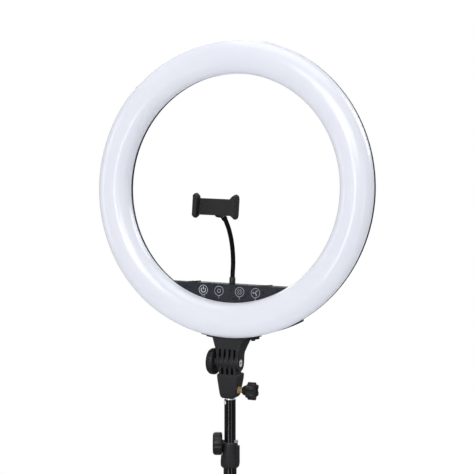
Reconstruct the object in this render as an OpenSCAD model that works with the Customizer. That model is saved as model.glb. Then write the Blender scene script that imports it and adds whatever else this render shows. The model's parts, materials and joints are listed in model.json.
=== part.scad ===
// Ring light on a three-section stand, with a tilting head, a gooseneck and a
// spring phone holder. Z is up, the floor is z = 0, the stand's axis is the Z
// axis and the lit side faces -Y. Left (-X) and right (+X) are as seen from the
// lit side. Millimetres and degrees.

/* [Ring head] */
// Outside diameter of the ring
ring_od = 457.2; // [456:0.1:458]
// Diameter of the opening in the ring
ring_id = 351.2; // [350.5:0.1:352]
// Depth of the rear shell
shell_depth = 25; // [24:0.5:26]
// How far the diffuser bulges forward
diffuser_bulge = 21; // [17:1:24]
// Height of the ring's centre above the tilt bolt
ring_h = 267.9; // [267.5:0.1:272]
// Backward lean of the head as drawn, in degrees
lean = 6; // [0:0.5:10]
// LEDs in each of the two rows
led_count = 60; // [24:6:90]

/* [Tilt bracket] */
// Height of the tilt bolt above the floor
pivot_z = 824.5; // [822:0.5:830]
// Distance between neighbouring fingers of one half
finger_pitch = 8.15; // [8.1:0.05:8.3]
// Thickness of a lower finger
lower_finger = 3.5; // [3.2:0.1:3.5]
// Radius of the fingers round the bolt
finger_r = 12.4; // [11.5:0.1:12.5]
// Radius of the tilt bolt
bolt_r = 3.95; // [3.5:0.05:3.95]

/* [Stand] */
// Outside radius of the top tube
top_r = 8.85; // [8.8:0.05:8.85]
// Outside radius of the middle tube
mid_r = 10.2; // [10.1:0.05:10.2]
// Outside radius of the bottom tube
low_r = 11.6; // [11.5:0.05:11.6]
// Radius of the spigot
spigot_r = 7.94; // [7.9:0.01:7.95]

/* [Tripod] */
// Length of a brace between its pins, and from a leg's top pin to its knee
brace_l = 200; // [190:1:205]
// Angle of the open legs from the vertical
leg_angle = 52; // [50:1:54]
// Height of the lower hub's pins above the floor
hub_z = 85; // [80:1:90]
// Radius of the hinge pins' circle round the stand
pin_circle = 28; // [28:1:30]
// Outside radius of a leg tube
leg_r = 8; // [7:0.5:8]

/* [Gooseneck and phone holder] */
// Radius of the gooseneck
neck_r = 3.5; // [3.3:0.1:3.6]
// Length of one gooseneck link
link_l = 18.8; // [18:0.1:19]
// Bend between neighbouring links, in degrees
link_bend = 11.33; // [8:0.5:12]
// Width of the phone holder over its jaws when closed
holder_w = 69.5; // [66:0.5:80]
// Backward lean of the phone holder, in degrees
holder_lean = 8; // [0:1:12]
// Depth of the jaws, front to back
jaw_d = 18; // [17:0.5:20]

/* [Hidden] */
$fn = 64;
ring_fn = 180;                       // facets of the ring's circles

// Colours used by more than one piece
shell_black = [0.15, 0.15, 0.16];
bracket_black = [0.16, 0.16, 0.17];
knob_black = [0.13, 0.13, 0.14];
neck_black = [0.12, 0.12, 0.13];
holder_black = [0.14, 0.14, 0.15];
tube_black = [0.1, 0.1, 0.11];
pad_grey = [0.2, 0.2, 0.2];
bright_steel = [0.75, 0.76, 0.78];
pin_steel = [0.7, 0.7, 0.72];
brass = [0.72, 0.55, 0.3];
board_green = [0.1, 0.35, 0.2];

// Ring and electronics box
outer_r = ring_od / 2;
inner_r = ring_id / 2;
band_r = (outer_r + inner_r) / 2;    // middle of the ring's band
ring_y = -16.2;                      // ring's front plane, in the head frame
panel_z = 147;                       // the panel's straight edge, below the centre
half_sector = 29;                    // half angle of the electronics box
cover_r = outer_r - 2.1;
cover_back = shell_depth + 19;

// Stand and tripod
collar_1_z = pivot_z - 125;          // top of the upper tube collar
collar_2_z = 585;                    // top of the lower tube collar
tube_drop = 10;                      // from a collar's top down to its outer tube's end
tube_gap = 0.1;                      // between nested tubes
tube_base = 52;                      // lower end of the bottom tube
tube_fn = 96;
leg_collar_z = hub_z + 2 * brace_l * cos(leg_angle);
leg_l = (leg_collar_z - 7) / cos(leg_angle);
leg_az = [-90, 30, 150];
lock_screw_r = 2.98;
lock_hole_r = 3.05;

// ---------------------------------------------------------------- frames
module at_pivot() { translate([0, 0, pivot_z]) children(); }
// Head frame: origin on the tilt bolt, leaned back with the head.
module head() { at_pivot() rotate([-lean, 0, 0]) children(); }
// From the head frame to the ring's centre.
module ring_centre() { translate([0, ring_y, ring_h]) children(); }
// Ring frame: x right, y to the rear, z up, origin at the ring's centre.
module ring() { head() ring_centre() children(); }
// The same origin with x right, y down and z to the rear.
module ring_back() { ring() rotate([-90, 0, 0]) children(); }
// Flat shape in x and "down", pushed along the depth.
module deep(front, back) {
  ring_back() translate([0, 0, front]) linear_extrude(back - front) children();
}
// Section of [radius, depth] turned about the ring's axis.
module turned() { ring_back() rotate_extrude($fn = ring_fn) children(); }
// Rod along X between two stations.
module along_x(start, end, radius, facets = 64) {
  translate([start, 0, 0]) rotate([0, 90, 0]) cylinder(r = radius, h = end - start, $fn = facets);
}

// ---------------------------------------------------------------- ring head
// Rear shell's section, [radius, depth]: outer face, then inner face.
shell_outer = [
  [outer_r, 0], [outer_r, 6], [outer_r - 1.1, 11],
  [outer_r - 4.6, shell_depth - 7.5], [outer_r - 10.6, shell_depth - 2.5],
  [outer_r - 17.6, shell_depth], [inner_r + 17.4, shell_depth],
  [inner_r + 10.4, shell_depth - 2.5], [inner_r + 4.4, shell_depth - 7.5],
  [inner_r + 1.1, 11], [inner_r, 6], [inner_r, 0]];
shell_inner = [
  [inner_r + 2.4, 0], [inner_r + 2.4, 6], [inner_r + 3.4, 10.2],
  [inner_r + 6.3, shell_depth - 9.2], [inner_r + 11.4, shell_depth - 4.5],
  [inner_r + 17.9, shell_depth - 2.2], [outer_r - 18.1, shell_depth - 2.2],
  [outer_r - 11.6, shell_depth - 4.5], [outer_r - 6.6, shell_depth - 9.2],
  [outer_r - 3.4, 10.2], [outer_r - 2.4, 6], [outer_r - 2.4, 0]];
// Tapered ribs on the tray's straight edge, [x, down].
tray_ribs = [
  [[-75, panel_z + 0.3], [-75, panel_z - 0.4], [-57, panel_z - 2.4], [-55.5, panel_z + 0.6]],
  [[46, panel_z + 0.6], [46, panel_z - 0.4], [63.5, panel_z - 2.4], [65, panel_z + 0.6]]];
cable_holes = [[-30, 160], [30, 186]];  // [x, down]

// The part of a disc below a straight edge.
module disc_below(radius, edge, width = 300) {
  intersection() {
    circle(r = radius, $fn = ring_fn);
    translate([-width / 2, edge]) square([width, 300]);
  }
}
// Stations of the eight screws round the band; 1 and 2 are the lowest.
module at_ring_screws(stations = [0:7]) {
  ring_back() for (i = stations) rotate([0, 0, 22.5 + 45 * i]) translate([band_r, 0, 0]) children();
}
module rear_housing() {
  color(shell_black) difference() {
    union() {
      turned() polygon(concat(shell_outer, shell_inner));
      // two low ribs carry the LED board
      for (rib_r = [inner_r + 13, outer_r - 15])
        turned() translate([rib_r, 16]) square([2, shell_depth - 18]);
      // tray behind the control panel
      deep(4.1, shell_depth) difference() {
        disc_below(inner_r + 2, panel_z);
        disc_below(inner_r - 2.2, panel_z + 2.2);
      }
      deep(shell_depth - 2.2, shell_depth) disc_below(inner_r + 6.4, panel_z);
      for (rib = tray_ribs) deep(6, 20) polygon(rib);
    }
    // bore for the gooseneck ferrule's stud
    ring() translate([0, neck_y, neck_z - 3]) cylinder(r = 3.05, h = 8);
    // cable passes to the box behind
    for (c = cable_holes) ring_back() translate([c.x, c.y, shell_depth - 4]) cylinder(r = 4, h = 8);
    at_ring_screws() translate([0, 0, shell_depth - 5]) cylinder(r = 1.6, h = 10, $fn = 24);
  }
}

// Flattened half ellipse across the band, from the outer edge inward or the other way.
function bulge(half_width, height, steps, inward = true) = [
  for (i = [0:steps])
    let (angle = 180 * (inward ? i : steps - i) / steps)
      [band_r + half_width * cos(angle), -1 - height * pow(abs(sin(angle)), 0.86)]];
// The bulge with a skirt inside the shell.
module diffuser() {
  color([0.93, 0.94, 0.97]) turned() polygon(concat(
    [[outer_r - 2.6, 5], [outer_r - 2.6, -0.1], [outer_r - 0.6, -0.1]],
    bulge(band_r - inner_r - 0.6, diffuser_bulge - 1, 30),
    [[inner_r + 0.6, -0.1], [inner_r + 2.6, -0.1], [inner_r + 2.6, 5], [inner_r + 4.4, 5]],
    bulge(band_r - inner_r - 4.4, diffuser_bulge - 3, 24, inward = false),
    [[outer_r - 4.4, 5]]));
}
module led_board() {
  color([0.9, 0.9, 0.88]) difference() {
    deep(14.3, 15.9) difference() {
      circle(r = outer_r - 8, $fn = ring_fn);
      circle(r = inner_r + 8, $fn = ring_fn);
    }
    at_ring_screws() translate([0, 0, 12]) cylinder(r = 1.7, h = 6, $fn = 24);
  }
}
// Two rows, the outer one half a pitch on from the inner one.
module led_chips() {
  row_offset = 8;
  color([0.98, 0.85, 0.4]) for (row = [0, 1], i = [0:led_count - 1])
    ring_back() rotate([0, 0, (i + 0.5 * row + 0.25) * 360 / led_count])
      translate([band_r + (2 * row - 1) * row_offset, 0, 13.85])
        cube([3.5, 2.8, 0.8], center = true);
}
module control_panel() {
  color([0.17, 0.18, 0.21]) deep(2, 4) disc_below(inner_r - 0.25, panel_z);
}
module touch_board() {
  key_x = [-43.7, -17.3, 17.3, 43.7];
  color(board_green) {
    deep(5.5, 7.1) intersection() {
      disc_below(inner_r - 2.6, panel_z + 3);
      translate([-60, 0]) square([120, 200]);
    }
    // one spring pad under each touch key
    for (x = key_x) ring_back() translate([x, 158, 4.2]) difference() {
      cylinder(r = 4, h = 1.25, $fn = 32);
      translate([0, 0, -1]) cylinder(r = 3, h = 4, $fn = 32);
    }
  }
}

// ---------------------------------------------------------------- electronics box
// The box sits on the rear of the ring's lowest part.
cover_holes = [[-70, 155], [70, 155], [-94, 192], [94, 192], [-22, 217], [22, 217]];  // [x, down]
jack_at = [62, 180];                 // [x, down]
plate_screw_angle = 7.6;             // the bracket plate's screws, round the ring
plate_screw_y = 31;                  // and behind the ring's front plane
plate_t = 5;                         // bracket plate, where it is thickest

module sector(inset) {
  wedge_r = 400;
  shift = 2.06;                      // moves the wedge's sides in by about the inset
  intersection() {
    disc_below(cover_r - inset, panel_z + inset, 500);
    translate([0, inset * shift]) polygon([[0, 0],
      [wedge_r * sin(half_sector), wedge_r * cos(half_sector)],
      [-wedge_r * sin(half_sector), wedge_r * cos(half_sector)]]);
  }
}
module at_cover_holes() {
  ring_back() for (c = cover_holes) translate([c.x, c.y, 0]) children();
}
// The plate's two screws, from the ring's centre; z is negative, below it.
module at_plate_screws(z) {
  for (a = [-plate_screw_angle, plate_screw_angle])
    rotate([0, a, 0]) translate([0, plate_screw_y, z]) children();
}
module rear_cover() {
  color(shell_black) difference() {
    intersection() {
      deep(1.5, cover_back) sector(0);
      // the outer edge is bevelled at the back
      turned() polygon([[0, 0], [cover_r, 0], [cover_r, cover_back - 4],
        [cover_r - 4.5, cover_back + 0.1], [0, cover_back + 0.1]]);
    }
    ring() at_plate_screws(-240) cylinder(r = 1.6, h = 20, $fn = 24);
    // seat over the ring's shell and the panel tray
    turned() polygon([
      [inner_r - 30, -5], [inner_r - 30, shell_depth + 0.1],
      [outer_r - 17.5, shell_depth + 0.1], [outer_r - 10.5, shell_depth - 2.4],
      [outer_r - 4.4, shell_depth - 7.3], [outer_r - 0.9, 11.1],
      [outer_r + 0.15, 6.1], [outer_r + 0.15, -5]]);
    // hollow, with a post left round each screw
    difference() {
      deep(shell_depth - 1, cover_back - 2.2) sector(2.4);
      at_cover_holes() cylinder(r = 3.2, h = 80, $fn = 32);
    }
    // vents
    for (i = [-5:5]) ring_back() translate([i * 7, 167, 20]) linear_extrude(60) union() {
      translate([-1.2, 0]) square([2.4, 14]);
      circle(r = 1.2, $fn = 24);
      translate([0, 14]) circle(r = 1.2, $fn = 24);
    }
    // opening for the power jack
    ring_back() translate([jack_at.x, jack_at.y, 20]) cylinder(r = 5.6, h = 60);
    // screw holes and the recesses of their heads
    at_cover_holes() {
      cylinder(r = 1.6, h = 80, $fn = 24);
      translate([0, 0, cover_back - 2.2]) cylinder(r = 3.0, h = 20, $fn = 32);
    }
  }
}
// Cross-slotted screw; the underside of its head is z = 0 and the shank points to -z.
module pan_screw(length, head_r = 2.8) {
  difference() {
    union() {
      translate([0, 0, -length]) cylinder(r = 1.5, h = length, $fn = 24);
      cylinder(r = head_r, h = 1.9, $fn = 32);
    }
    for (slot = [[3.2, 0.8], [0.8, 3.2]])
      translate([0, 0, 1.9]) cube([slot.x, slot.y, 2.2], center = true);
  }
}
module head_screws() {
  color([0.25, 0.25, 0.27]) {
    // the box covers stations 1 and 2
    at_ring_screws([0, 3, 4, 5, 6, 7]) translate([0, 0, shell_depth + 0.05]) pan_screw(12);
    at_cover_holes() translate([0, 0, cover_back - 2.15]) pan_screw(10);
    ring() at_plate_screws(-outer_r - plate_t - 0.05) rotate([180, 0, 0]) pan_screw(9.6, 3);
  }
}
board_front = shell_depth + 5;
board_t = 1.6;
module driver_board() {
  color(board_green) deep(board_front, board_front + board_t)
    translate([-50, 172]) square([100, 40]);
}
module driver_parts() {
  cans = [[-40, 186, 5, 9.5], [-26, 186, 4, 9]];  // [x, down, radius, height]
  // [x, down, width, length, height]
  blocks = [[-12, 192, 12, 12, 8], [8, 190, 14, 14, 3], [30, 196, 8, 5, 2], [-44, 198, 9, 6, 2.5]];
  color([0.2, 0.2, 0.22]) ring_back() translate([0, 0, board_front + board_t]) {
    for (c = cans) translate([c[0], c[1], 0]) cylinder(r = c[2], h = c[3], $fn = 32);
    for (b = blocks) translate([b[0], b[1], 0]) cube([b[2], b[3], b[4]]);
  }
}
// Flanged socket with a centre contact.
module dc_jack() {
  color([0.08, 0.08, 0.09]) ring_back() translate([jack_at.x, jack_at.y, cover_back]) {
    difference() {
      union() {
        translate([0, 0, -12]) cylinder(r = 5.5, h = 12);
        translate([0, 0, 0.05]) cylinder(r = 7.5, h = 1.6);
      }
      translate([0, 0, -9.5]) cylinder(r = 2.8, h = 12);
    }
    translate([0, 0, -10]) cylinder(r = 1, h = 9.5, $fn = 32);
  }
}

// ---------------------------------------------------------------- knobs
// Knob on the -X axis, its hub's inner face at x = 0: a turned body of
// [radius, depth] points, less the grooves given as children and a shallow dish.
module knob(radius, depth, hub_r, hub_depth, profile) {
  difference() {
    union() {
      rotate([0, -90, 0]) translate([0, 0, hub_depth]) rotate_extrude() polygon(profile);
      rotate([0, -90, 0]) cylinder(r = hub_r, h = hub_depth + 1);
    }
    children();
    translate([-hub_depth - depth + 0.8, 0, 0]) rotate([0, -90, 0]) cylinder(r = radius - 8, h = 5);
  }
}
// One groove cutter parallel to X, its axis at a height z.
module groove(x, z, radius, length, facets) {
  translate([x, 0, z]) rotate([0, -90, 0])
    cylinder(r = radius, h = length, center = true, $fn = facets);
}
// Knob with narrow flutes in a rounded rim.
module fluted_knob(radius, depth, flutes, hub_r, hub_depth) {
  knob(radius, depth, hub_r, hub_depth, [
    [0, 0], [radius - 3.6, 0], [radius - 1.6, 0.6], [radius - 0.5, 1.8], [radius, 3.6],
    [radius, depth - 5.4], [radius - 0.6, depth - 3.2], [radius - 2.2, depth - 1.3],
    [radius - 4.6, depth - 0.3], [radius - 6.5, depth], [0, depth]])
    for (i = [0:flutes - 1]) rotate([i * 360 / flutes, 0, 0])
      groove(-hub_depth, radius + 1.35, 2, depth * 3, 24);
}
// Knob with wide scallops round its rim.
module scalloped_knob(radius, depth, scallops, hub_r, hub_depth) {
  knob(radius, depth, hub_r, hub_depth, [
    [0, 0], [radius - 3.2, 0], [radius - 1.2, 0.7], [radius - 0.3, 1.9], [radius, 3.4],
    [radius, depth - 4.4], [radius - 0.5, depth - 2.6], [radius - 1.6, depth - 1.1],
    [radius - 3.4, depth - 0.2], [radius - 5, depth], [0, depth]])
    for (i = [0:scallops - 1]) rotate([(i + 0.5) * 360 / scallops, 0, 0])
      groove(-hub_depth, radius + 3.4, 4.6, depth * 3, 48);
}

// ---------------------------------------------------------------- tilt bracket
finger_gap = 0.1;                    // on each side of a lower finger
upper_finger = finger_pitch - lower_finger - 2 * finger_gap;
bracket_half = 2 * finger_pitch + upper_finger / 2;  // half width over the upper fingers
bolt_hole_r = 4;
socket_z = -60;                      // spigot socket's lower end, from the bolt
socket_l = 37;
thumb_z = -42;                       // thumb screw's axis, from the bolt

module at_thumb() { at_pivot() translate([0, 0, thumb_z]) children(); }
// The left face of each of the four lower fingers.
module at_lower_fingers() {
  for (i = [-1.5:1:1.5]) translate([i * finger_pitch - lower_finger / 2, 0, 0]) children();
}
// Body that fills both a front outline [x, z] and a side outline [y, z].
module two_view_body(front_outline, side_outline) {
  intersection() {
    translate([0, 40, 0]) rotate([90, 0, 0]) linear_extrude(80) polygon(front_outline);
    translate([-60, 0, 0]) rotate([90, 0, 90]) linear_extrude(120) polygon(side_outline);
  }
}
// Part of the base plate that lies along the ring's underside.
module plate_band(half_width, radius, front, back) {
  intersection() {
    ring_centre() rotate([-90, 0, 0]) translate([0, 0, front - ring_y])
      cylinder(r = radius, h = back - front, $fn = ring_fn);
    translate([0, 0, 30]) linear_extrude(16) polygon([
      [-half_width, front], [half_width, front], [half_width, back - 6],
      [half_width - 5, back], [-half_width + 5, back], [-half_width, back - 6]]);
  }
}
module bracket_upper() {
  color(bracket_black) head() difference() {
    union() {
      along_x(-bracket_half, bracket_half, finger_r);
      translate([-bracket_half, -finger_r, 0]) cube([2 * bracket_half, 2 * finger_r, 20]);
      // funnel widening towards the base plate
      two_view_body(
        [[-bracket_half, 14], [bracket_half, 14], [bracket_half + 0.4, 17.5], [25.2, 37],
          [25.2, 44], [-25.2, 44], [-25.2, 37], [-bracket_half - 0.4, 17.5]],
        [[-finger_r, 10], [finger_r, 10], [finger_r + 0.6, 17], [19, 36],
          [21, 44], [-15, 44], [-13.6, 36], [-finger_r - 0.3, 17]]);
      // base plate: thin at its rim, thicker towards the middle and the back
      plate_band(43.4, outer_r + 1.5, -15.9, 24);
      plate_band(34.5, outer_r + 3, -15.9, 24);
      plate_band(40.5, outer_r + plate_t, 4.5, 23);
    }
    at_lower_fingers() translate([-finger_gap, -40, -20])
      cube([lower_finger + 2 * finger_gap, 80, 40.7]);
    along_x(-30, 30, bolt_hole_r);
    // pocket for the nut in the right-hand finger
    along_x(bracket_half - 2.9, 30, 6.7, 6);
    // seat on the ring's shell and the electronics box
    ring_centre() rotate([-90, 0, 0]) rotate_extrude($fn = ring_fn) polygon([
      [0, -60], [outer_r + 0.1, -60], [outer_r + 0.1, 6.1], [outer_r - 0.95, 11.1],
      [cover_r + 0.15, 13.3], [cover_r + 0.15, 90], [0, 90]]);
    ring_centre() at_plate_screws(-250) cylinder(r = 1.7, h = 30, $fn = 24);
  }
}
// Bolt with a hexagonal socket in its right end.
module tilt_bolt() {
  color(tube_black) at_pivot() difference() {
    along_x(-28, bracket_half - 0.2, bolt_r);
    along_x(bracket_half - 2.4, bracket_half + 5, 1.9, 6);
  }
}
// Nut on the right, washer on the left.
module tilt_nut() {
  nut_start = bracket_half - 2.85;
  nut_end = bracket_half - 0.4;
  color(bright_steel) at_pivot() {
    rotate([-lean, 0, 0]) difference() {
      intersection() {
        along_x(nut_start, nut_end, 6.6, 6);
        along_x(nut_start, nut_end, 6.2);
      }
      along_x(-30, 60, bolt_hole_r);
    }
    difference() {
      along_x(-bracket_half - 1.6, -bracket_half - 0.1, 8);
      along_x(-60, 60, bolt_hole_r);
    }
  }
}
module tilt_knob() {
  color(knob_black) at_pivot() difference() {
    translate([-bracket_half - 1.7, 0, 0])
      fluted_knob(radius = 20.5, depth = 12.8, flutes = 24, hub_r = 9.5, hub_depth = 1.4);
    along_x(-29, 0, bolt_hole_r);
  }
}
module bracket_lower() {
  color(bracket_black) at_pivot() difference() {
    union() {
      at_lower_fingers() {
        along_x(0, lower_finger, finger_r - 0.2);
        translate([0, -11, -22]) cube([lower_finger, 22.5, 22]);
      }
      two_view_body(
        [[-16, -17], [16, -17], [16.6, -19], [16, -26], [12.6, -48], [11.2, -52.5],
          [8.6, -54.8], [-8.6, -54.8], [-11.2, -52.5], [-12.6, -48], [-16, -26], [-16.6, -19]],
        [[-12, -17], [14, -17], [16.5, -19.5], [16, -27], [13, -49], [11.5, -53.5],
          [9, -56], [-9, -56], [-10.8, -52.5], [-11.4, -47], [-12.2, -22]]);
    }
    translate([0, 0, socket_z]) cylinder(r = 8, h = socket_l);
    translate([0, 0, thumb_z]) along_x(0, 30, 4.55);
    along_x(-30, 30, bolt_hole_r);
  }
}
module thumb_insert() {
  color(brass) at_thumb() difference() {
    union() {
      along_x(9, 16.2, 4.5);
      along_x(14.6, 16.2, 5.4);
    }
    along_x(0, 40, 3);
    translate([0, 0, socket_z - thumb_z]) cylinder(r = 8.05, h = socket_l);
  }
}
module thumb_screw() {
  color(brass) at_thumb() {
    along_x(6.7, 33, 2.94);
    along_x(19.8, 22.4, 4.6, 48);
  }
}
// Six-lobed knob on a flared neck.
module thumb_knob() {
  color(neck_black) at_thumb() difference() {
    union() {
      rotate([0, 90, 0]) rotate_extrude() polygon([
        [0, 22.5], [6.2, 22.5], [7, 23.6], [8, 26.5], [11.8, 31.2], [11.8, 33], [0, 33]]);
      translate([31, 0, 0]) rotate([0, 90, 0]) linear_extrude(11.8) union() {
        circle(r = 10.6);
        for (a = [0:60:300]) rotate(a) translate([10, 0]) circle(r = 4, $fn = 48);
      }
    }
    along_x(0, 33.1, 3);
    along_x(41.6, 60, 7.5);
  }
}

// ---------------------------------------------------------------- gooseneck
// It rises from the panel's straight edge and bends forward link by link.
neck_y = 12;                         // foot of the neck, in the ring frame
neck_z = -panel_z;
base_l = 33;                         // from the foot to the first joint
tip_l = 20.4;                        // from the last joint to the holder's ball
last_link = 5;
joint_r = 2.4;                       // ball of a joint
joint_socket_r = 2.45;
stem_r = 1.4;                        // stem that carries a joint's ball
skirt_l = 1.2;                       // how far a link reaches back over its joint
joint_setback = 2.6;                 // from a link's end to the next joint
first_joint_z = neck_z + base_l;

// Place of joint k in the ring frame.
function joint_y(k) = k <= 1 ? neck_y : joint_y(k - 1) - link_l * sin(link_bend * (k - 1));
function joint_z(k) = k <= 1 ? first_joint_z : joint_z(k - 1) + link_l * cos(link_bend * (k - 1));
module at_foot() { ring() translate([0, neck_y, neck_z]) children(); }
module at_joint(k) {
  ring() translate([0, joint_y(k), joint_z(k)]) rotate([link_bend * k, 0, 0]) children();
}
module neck_ferrule() {
  color(knob_black) at_foot() difference() {
    union() {
      translate([0, 0, 0.05]) rotate_extrude()
        polygon([[0, 0], [4.3, 0], [4.7, 0.5], [4.7, 9.6], [4.1, 10.7], [0, 10.7]]);
      translate([0, 0, -6]) cylinder(r = 3, h = 7);
    }
    translate([0, 0, 3]) cylinder(r = neck_r + 0.05, h = 10);
    translate([0, 0, -8]) cylinder(r = 1.5, h = 20, $fn = 32);
  }
}
module neck_base() {
  color(neck_black) at_foot() {
    translate([0, 0, 3.1]) cylinder(r = neck_r, h = base_l - joint_setback - 3.1);
    translate([0, 0, base_l - 3]) cylinder(r = stem_r, h = 3, $fn = 32);
    translate([0, 0, base_l]) sphere(r = joint_r);
  }
}
module neck_link(k) {
  color(neck_black) at_joint(k) difference() {
    union() {
      translate([0, 0, -skirt_l]) cylinder(r = neck_r, h = link_l - joint_setback + skirt_l);
      cylinder(r = stem_r, h = link_l, $fn = 32);
      translate([0, 0, link_l]) sphere(r = joint_r);
    }
    sphere(r = joint_socket_r);
  }
}
module neck_link_1() { neck_link(1); }
module neck_link_2() { neck_link(2); }
module neck_link_3() { neck_link(3); }
module neck_link_4() { neck_link(4); }
// Short last link, without a ball of its own.
module neck_link_5() {
  color(neck_black) at_joint(last_link) difference() {
    translate([0, 0, -skirt_l]) cylinder(r = neck_r, h = 9.7);
    sphere(r = joint_socket_r);
  }
}
// Ferrule, stem and the ball that carries the phone holder.
module neck_tip() {
  color([0.55, 0.56, 0.58]) at_joint(last_link) difference() {
    union() {
      translate([0, 0, 4.2]) rotate_extrude()
        polygon([[0, 0], [4.0, 0], [4.4, 0.5], [4.4, 8.6], [3.6, 9.4], [0, 9.4]]);
      cylinder(r = 1.5, h = tip_l, $fn = 32);
      translate([0, 0, tip_l]) sphere(r = 4);
    }
    translate([0, 0, -2]) cylinder(r = neck_r + 0.05, h = 10.55);
  }
}

// ---------------------------------------------------------------- phone holder
// Ball centre from the neck's geometry: in the head frame, then in the stand's.
ball_head_y = joint_y(last_link) - tip_l * sin(last_link * link_bend) + ring_y;
ball_head_z = joint_z(last_link) + tip_l * cos(last_link * link_bend) + ring_h;
ball_y = ball_head_y * cos(lean) + ball_head_z * sin(lean);
ball_z = pivot_z - ball_head_y * sin(lean) + ball_head_z * cos(lean);
// Sizes in the holder frame
clamp_left = -holder_w / 2 - 1.9;
clamp_right = holder_w / 2 - 1.9;
plate_back = -9;
plate_front = -16.5;
plate_bottom = -4.1;
plate_top = 20.9;
jaw_bottom = -9.5;
jaw_top = 28.6;
jaw_t = 5;
jaw_front = plate_back - jaw_d;
pad_t = 1.5;
tongue_left = clamp_left + 12;
tongue_front = plate_front + 1.9;
tongue_d = 3.7;
tongue_bottom = plate_bottom + 4.6;
tongue_top = plate_top - 4.6;
rail_h = 3.5;

// Holder frame: x right, y to the rear, z up; the ball's centre is the origin.
module holder() { translate([0, ball_y, ball_z]) rotate([-holder_lean, 0, 0]) children(); }
// Cup round the front of the ball, with a stud into the plate.
module ball_cup() {
  color([0.35, 0.36, 0.38]) holder() rotate([90, 0, 0]) difference() {
    union() {
      translate([0, 0, -0.8]) rotate_extrude()
        polygon([[0, 0], [6.2, 0], [7.4, 1.2], [7.4, 4.6], [6.8, 6.4], [0, 6.4]]);
      cylinder(r = 3, h = 10.5);
    }
    rotate_extrude() intersection() {
      circle(r = 4.05, $fn = 96);
      translate([0, -10]) square([10, 20]);
    }
  }
}
// A jaw's outline seen from the side: a plate with round ends.
module jaw_profile() {
  radius = jaw_d / 2;
  union() {
    translate([0, jaw_bottom + radius]) square([jaw_d, jaw_top - jaw_bottom - jaw_d]);
    for (z = [jaw_bottom + radius, jaw_top - radius])
      translate([radius, z]) circle(r = radius, $fn = 64);
  }
}
// Jaw with a lip along its front edge, trimmed to a front outline with cut corners.
// x is its outer side; inward is 1 or -1, the way its inner side faces.
module jaw(x, inward, lip_w) {
  lip_bottom = jaw_bottom + 3.4;
  lip_h = jaw_top - jaw_bottom - 6.8;
  // upper or lower half of the outline, [distance inward, distance from the end]
  end = [[0, 2.6], [0.9, 0.7], [2.4, 0], [jaw_t, 4], [lip_w, 8]];
  intersection() {
    union() {
      translate([min(x, x + inward * jaw_t), jaw_front, 0])
        rotate([90, 0, 90]) linear_extrude(jaw_t) jaw_profile();
      translate([min(x, x + inward * lip_w), jaw_front, lip_bottom]) cube([lip_w, 1.9, lip_h]);
      translate([min(x, x + inward * jaw_t), jaw_front, lip_bottom]) cube([jaw_t, 5, lip_h]);
    }
    translate([x, 0, 0]) rotate([90, 0, 0]) linear_extrude(60) polygon(concat(
      [for (p = end) [inward * p.x, jaw_bottom + p.y]],
      [for (i = [4:-1:0]) [inward * end[i].x, jaw_top - end[i].y]]));
  }
}
// Plate with the fixed left jaw and a boss for the ball cup.
module holder_plate() {
  color(holder_black) holder() difference() {
    union() {
      translate([clamp_left + 3, plate_front, plate_bottom])
        cube([holder_w - 8.3, plate_back - plate_front, plate_top - plate_bottom]);
      jaw(clamp_left, 1, 6.6);
      rotate([90, 0, 0]) translate([0, 0, 5.7]) cylinder(r = 7.2, h = 5);
    }
    // channel for the sliding jaw's tongue and its spring
    translate([clamp_left + 9, plate_front + 1.8, plate_bottom + 4.5])
      cube([100, 3.9, plate_top - plate_bottom - 9]);
    rotate([90, 0, 0]) cylinder(r = 3.05, h = 11);
  }
}
// Right jaw on a tongue of two rails, joined by a bridge at the inner end.
module sliding_jaw() {
  color(holder_black) holder() {
    jaw(clamp_right, -1, 8.6);
    for (z = [tongue_bottom, tongue_top - rail_h])
      translate([tongue_left, tongue_front, z]) cube([holder_w - 16, tongue_d, rail_h]);
    translate([tongue_left, tongue_front, tongue_bottom])
      cube([2.5, tongue_d, tongue_top - tongue_bottom]);
  }
}
// Spring between the rails, drawn as a sleeve.
module jaw_spring() {
  color(bright_steel) holder()
    translate([0, tongue_front + tongue_d / 2, (plate_bottom + plate_top) / 2]) difference() {
      along_x(clamp_left + 14.6, clamp_right - 7, 1.7, 48);
      along_x(clamp_left, clamp_right, 1.2, 48);
    }
}
module pad(left) {
  color(pad_grey) holder() translate([left, jaw_front + 2.1, jaw_bottom + 10])
    cube([pad_t, 8, jaw_top - jaw_bottom - 20]);
}
module fixed_pad() { pad(clamp_left + jaw_t); }
module sliding_pad() { pad(clamp_right - jaw_t - pad_t); }

// ---------------------------------------------------------------- stand
rivet_az = -125;
rivet_z = -62;                       // from the tilt bolt
knob_az = 203;
ridge_az = 355;
liner_t = 1.1;
knob_drop = 2.4;                     // the lock knob's axis, below the collar's top
knob_gap = 3;                        // from the inner tube to the knob's inner face

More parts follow.
